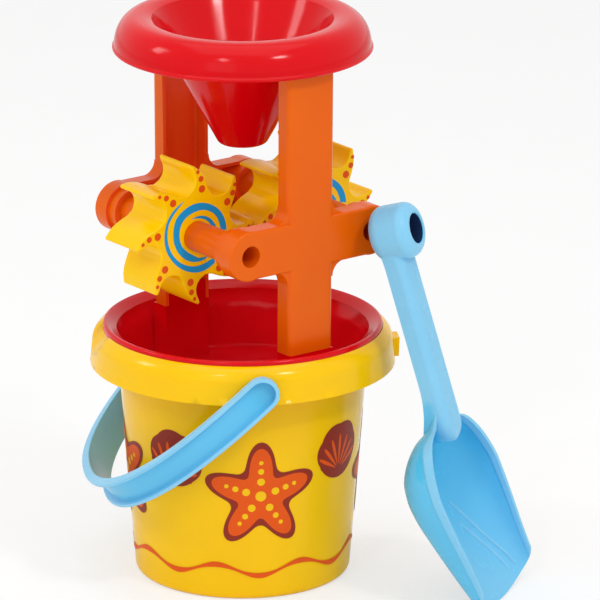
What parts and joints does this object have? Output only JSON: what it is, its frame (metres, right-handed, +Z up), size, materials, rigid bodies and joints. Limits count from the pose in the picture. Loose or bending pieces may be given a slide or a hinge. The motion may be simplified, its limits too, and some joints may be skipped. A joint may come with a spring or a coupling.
{
  "type": "sand wheel toy",
  "caption": "Sand bucket with bail handle, sieve tray, and a mill of two frames, paddle wheels and a funnel, with a scoop leaning against it.",
  "frame": {"origin": "centre of the bucket's base, on the ground", "axes": "+Z up, +Y from the front frame to the rear one along the wheels' axles, +X to the right along the frames' arms"},
  "size_m": [0.2222, 0.2649, 0.339],
  "materials": {
    "bucket_yellow": "glossy moulded polypropylene",
    "wheel_yellow": "glossy moulded polypropylene",
    "orange": "glossy moulded polypropylene",
    "red": "glossy moulded polypropylene",
    "sky_blue": "glossy moulded polypropylene",
    "bail_blue": "glossy moulded polypropylene"
  },
  "bodies": {
    "bucket": {"bucket": "bucket_yellow"},
    "bail": {"bail_handle": "bail_blue"},
    "mill": {"tray": "red", "frame_front": "orange", "frame_rear": "orange", "axle_left": "orange", "axle_right": "orange", "funnel": "red"},
    "wheel_left": {"wheel_left": "wheel_yellow"},
    "wheel_right": {"wheel_right": "wheel_yellow"},
    "scoop": {"scoop": "sky_blue"}
  },
  "joints": [
    {"name": "bail_swing", "type": "hinge", "parent": "bucket", "child": "bail", "pos_m": [0, 0, 0.137], "axis": [0.5, 0.866, 0], "range_deg": [0, 76]},
    {"name": "mill_lift", "type": "slide", "parent": "bucket", "child": "mill", "axis": [0, 0, 1], "range_m": [0, 0.04]},
    {"name": "wheel_left_spin", "type": "hinge", "parent": "mill", "child": "wheel_left", "pos_m": [-0.0441, 0, 0.2158], "axis": [0, 1, 0], "continuous": true},
    {"name": "wheel_right_spin", "type": "hinge", "parent": "mill", "child": "wheel_right", "pos_m": [0.0441, 0, 0.2158], "axis": [0, 1, 0], "continuous": true},
    {"name": "scoop_lift", "type": "slide", "parent": "bucket", "child": "scoop", "axis": [0, 0, 1], "range_m": [0, 0.06]}
  ]
}
